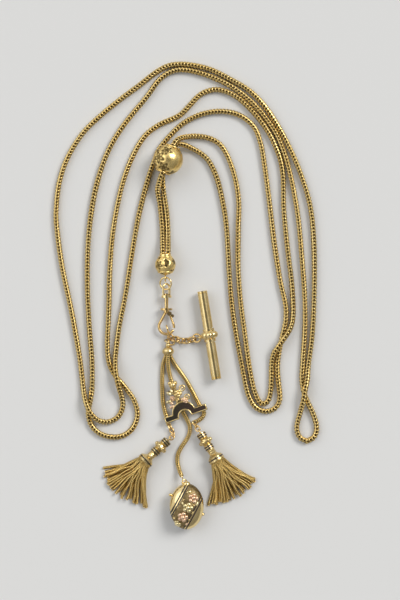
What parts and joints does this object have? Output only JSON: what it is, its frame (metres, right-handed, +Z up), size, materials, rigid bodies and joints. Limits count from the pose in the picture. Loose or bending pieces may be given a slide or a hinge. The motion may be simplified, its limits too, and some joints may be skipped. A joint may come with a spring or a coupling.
{
  "type": "watch chain",
  "caption": "Long woven gold guard watch chain with sliding ball, swivel clip, toggle bar and an enamelled pendant with tassels and a floral drop, lying doubled up.",
  "frame": {"origin": "centre of the bounding box in plan, on the surface that the chain lies on", "axes": "+Z up from the surface, +Y towards the top of the heap of strands, -Y towards the drop, +X to the right seen from above"},
  "size_m": [0.1059, 0.1864, 0.012],
  "materials": {
    "gold": "worn polished yellow gold",
    "bright_gold": "bright polished yellow gold",
    "black_enamel": "glossy black enamel"
  },
  "bodies": {
    "jewel": {"chain_first_run": "gold", "chain_second_run": "gold", "slide_ball": "gold", "end_bead": "gold", "swivel_bow": "gold", "pendant_link": "gold", "bar_link_1": "gold", "bar_link_2": "gold", "bar_link_3": "gold", "bar_link_4": "gold", "fine_chain_left": "gold", "fine_chain_centre": "gold", "fine_chain_right": "gold", "plaque": "gold", "tassel_link_left_1": "gold", "tassel_link_left_2": "gold", "tassel_link_left_3": "gold", "tassel_link_left_4": "gold", "tassel_link_right_1": "gold", "tassel_link_right_2": "gold", "tassel_head_left": "gold", "tassel_head_right": "gold", "fringe_left": "gold", "fringe_right": "gold", "drop": "gold", "clip_ring": "bright_gold", "hook_ring": "bright_gold", "bar_ring": "bright_gold", "t_bar": "bright_gold", "pendant_cap": "bright_gold", "plaque_enamel": "black_enamel", "tassel_enamel_left": "black_enamel", "tassel_enamel_right": "black_enamel", "drop_enamel": "black_enamel"},
    "clip": {"clip_hook": "gold"},
    "lever": {"clip_lever": "bright_gold"}
  },
  "joints": [
    {"name": "clip_swivel", "type": "hinge", "parent": "jewel", "child": "clip", "pos_m": [-0.008, -0.003, 0.0024], "axis": [0, 1, 0], "range_deg": [-5, 5]},
    {"name": "clip_lever", "type": "hinge", "parent": "clip", "child": "lever", "pos_m": [-0.00675, -0.00745, 0.0024], "axis": [0, 0, -1], "range_deg": [0, 11], "stiffness_Nm_per_rad": 0.0005, "springref_deg": -5.73}
  ]
}
